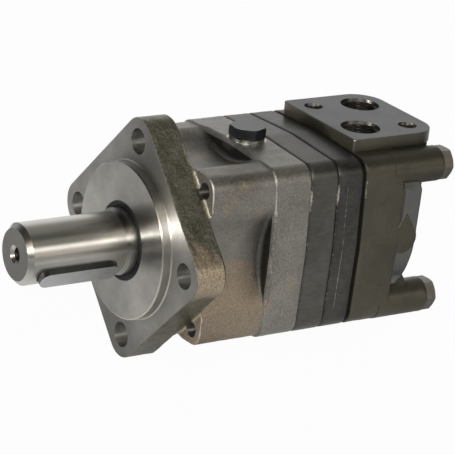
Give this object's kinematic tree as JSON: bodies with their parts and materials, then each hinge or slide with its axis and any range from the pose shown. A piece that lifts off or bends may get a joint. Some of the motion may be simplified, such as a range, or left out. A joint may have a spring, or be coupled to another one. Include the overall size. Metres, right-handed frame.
{
  "type": "orbital hydraulic motor",
  "caption": "Orbital hydraulic motor with a diamond mounting flange, a keyed shaft, a roller gear set, a disc valve and threaded ports on its top face.",
  "frame": {"origin": "centre of the mounting face on the shaft axis", "axes": "+Y along the shaft axis into the body, so the shaft end points to -Y; +Z towards the ports"},
  "size_m": [0.1314, 0.2359, 0.1314],
  "materials": {
    "housing_iron": "phosphated casting with machined faces",
    "section_iron": "dark phosphated casting with machined joint faces",
    "shaft_steel": "ground",
    "bearing_steel": "ground and polished",
    "bolt_steel": "black oxide",
    "washer_steel": "bright",
    "seal_rubber": "matt",
    "valve_bronze": "turned"
  },
  "bodies": {
    "housing": {"front_housing": "housing_iron", "dust_seal": "seal_rubber", "shaft_seal": "seal_rubber", "front_bearing_cup": "bearing_steel", "rear_bearing_cup": "bearing_steel", "wear_plate": "bearing_steel", "housing_seal": "seal_rubber", "gear_ring": "section_iron", "ring_seal": "seal_rubber", "channel_plate": "section_iron", "cover_seal": "seal_rubber", "balance_ring": "valve_bronze", "balance_springs": "bearing_steel", "valve_housing": "section_iron", "cover_bolts": "bolt_steel", "drain_washer": "washer_steel", "drain_plug": "bolt_steel"},
    "shaft": {"output_shaft": "shaft_steel", "shaft_key": "shaft_steel", "front_bearing_cone": "bearing_steel", "rear_bearing_cone": "bearing_steel"},
    "front_cage": {"front_bearing_cage": "bearing_steel", "front_bearing_rollers": "bearing_steel"},
    "rear_cage": {"rear_bearing_cage": "bearing_steel", "rear_bearing_rollers": "bearing_steel"},
    "orbit": {"drive_spacer": "bearing_steel"},
    "star": {"star_rotor": "bearing_steel"},
    "main_link": {"main_drive_link": "bearing_steel"},
    "valve_link": {"valve_drive_link": "bearing_steel"},
    "valve": {"disc_valve": "bearing_steel"},
    "roller_body_1": {"roller_1": "bearing_steel"},
    "roller_body_2": {"roller_2": "bearing_steel"},
    "roller_body_3": {"roller_3": "bearing_steel"},
    "roller_body_4": {"roller_4": "bearing_steel"},
    "roller_body_5": {"roller_5": "bearing_steel"},
    "roller_body_6": {"roller_6": "bearing_steel"},
    "roller_body_7": {"roller_7": "bearing_steel"}
  },
  "joints": [
    {"name": "shaft_spin", "type": "hinge", "parent": "housing", "child": "shaft", "pos_m": [0, 0, 0], "axis": [0, 1, 0], "continuous": true},
    {"name": "front_cage_spin", "type": "hinge", "parent": "housing", "child": "front_cage", "pos_m": [0, 0, 0], "axis": [0, 1, 0], "continuous": true},
    {"name": "rear_cage_spin", "type": "hinge", "parent": "housing", "child": "rear_cage", "pos_m": [0, 0, 0], "axis": [0, 1, 0], "continuous": true},
    {"name": "star_orbit", "type": "hinge", "parent": "housing", "child": "orbit", "pos_m": [0, 0, 0], "axis": [0, 1, 0], "continuous": true},
    {"name": "star_spin", "type": "hinge", "parent": "orbit", "child": "star", "pos_m": [0, 0, 0.0027], "axis": [0, 1, 0], "continuous": true},
    {"name": "main_link_spin", "type": "hinge", "parent": "orbit", "child": "main_link", "pos_m": [0, 0.042, 0], "axis": [0, 0.9979, 0.065], "continuous": true},
    {"name": "valve_link_spin", "type": "hinge", "parent": "orbit", "child": "valve_link", "pos_m": [0, 0.116, 0], "axis": [0, 0.9927, -0.1209], "continuous": true},
    {"name": "valve_spin", "type": "hinge", "parent": "housing", "child": "valve", "pos_m": [0, 0, 0], "axis": [0, 1, 0], "continuous": true},
    {"name": "roller_1_spin", "type": "hinge", "parent": "housing", "child": "roller_body_1", "pos_m": [0, 0, 0.0333], "axis": [0, 1, 0], "continuous": true},
    {"name": "roller_2_spin", "type": "hinge", "parent": "housing", "child": "roller_body_2", "pos_m": [0.02603, 0, 0.02076], "axis": [0, 1, 0], "continuous": true},
    {"name": "roller_3_spin", "type": "hinge", "parent": "housing", "child": "roller_body_3", "pos_m": [0.03247, 0, -0.00741], "axis": [0, 1, 0], "continuous": true},
    {"name": "roller_4_spin", "type": "hinge", "parent": "housing", "child": "roller_body_4", "pos_m": [0.01445, 0, -0.03], "axis": [0, 1, 0], "continuous": true},
    {"name": "roller_5_spin", "type": "hinge", "parent": "housing", "child": "roller_body_5", "pos_m": [-0.01445, 0, -0.03], "axis": [0, 1, 0], "continuous": true},
    {"name": "roller_6_spin", "type": "hinge", "parent": "housing", "child": "roller_body_6", "pos_m": [-0.03247, 0, -0.00741], "axis": [0, 1, 0], "continuous": true},
    {"name": "roller_7_spin", "type": "hinge", "parent": "housing", "child": "roller_body_7", "pos_m": [-0.02603, 0, 0.02076], "axis": [0, 1, 0], "continuous": true}
  ],
  "couplings": [
    {"joint": "star_orbit", "follows": "shaft_spin", "ratio": -6},
    {"joint": "star_spin", "follows": "shaft_spin", "ratio": 7},
    {"joint": "main_link_spin", "follows": "shaft_spin", "ratio": 7},
    {"joint": "valve_link_spin", "follows": "shaft_spin", "ratio": 7},
    {"joint": "valve_spin", "follows": "shaft_spin", "ratio": 1},
    {"joint": "front_cage_spin", "follows": "shaft_spin", "ratio": 0.4268},
    {"joint": "rear_cage_spin", "follows": "shaft_spin", "ratio": 0.4268}
  ]
}
